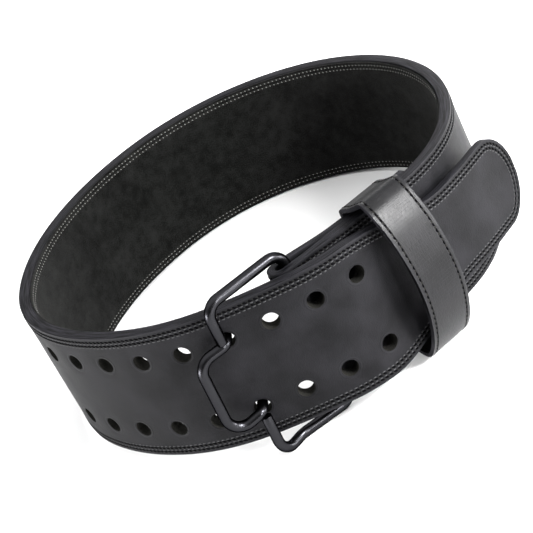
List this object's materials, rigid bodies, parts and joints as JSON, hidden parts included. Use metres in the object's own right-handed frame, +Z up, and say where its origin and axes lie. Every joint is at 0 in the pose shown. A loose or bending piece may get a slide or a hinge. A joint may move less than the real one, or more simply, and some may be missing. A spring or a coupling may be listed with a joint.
{
  "type": "weightlifting belt",
  "caption": "Wide black leather weightlifting belt, fastened into a loop by a wire buckle whose prongs sit in two rows of punched holes, with a loose keeper.",
  "frame": {"origin": "middle of the belt's footprint, on the floor it stands on", "axes": "+Z up across the strap's width, -Y towards the buckle, +X the way the tongue points"},
  "size_m": [0.3472, 0.3524, 0.1298],
  "materials": {
    "strap_leather": "smooth black hide, low sheen, edges painted black",
    "suede": "matt napped black suede",
    "keeper_leather": "smooth black hide, satin",
    "enamelled_steel": "satin black enamel"
  },
  "bodies": {
    "root": {"strap": "strap_leather", "lining": "suede", "keeper": "keeper_leather", "buckle": "enamelled_steel"}
  },
  "joints": []
}
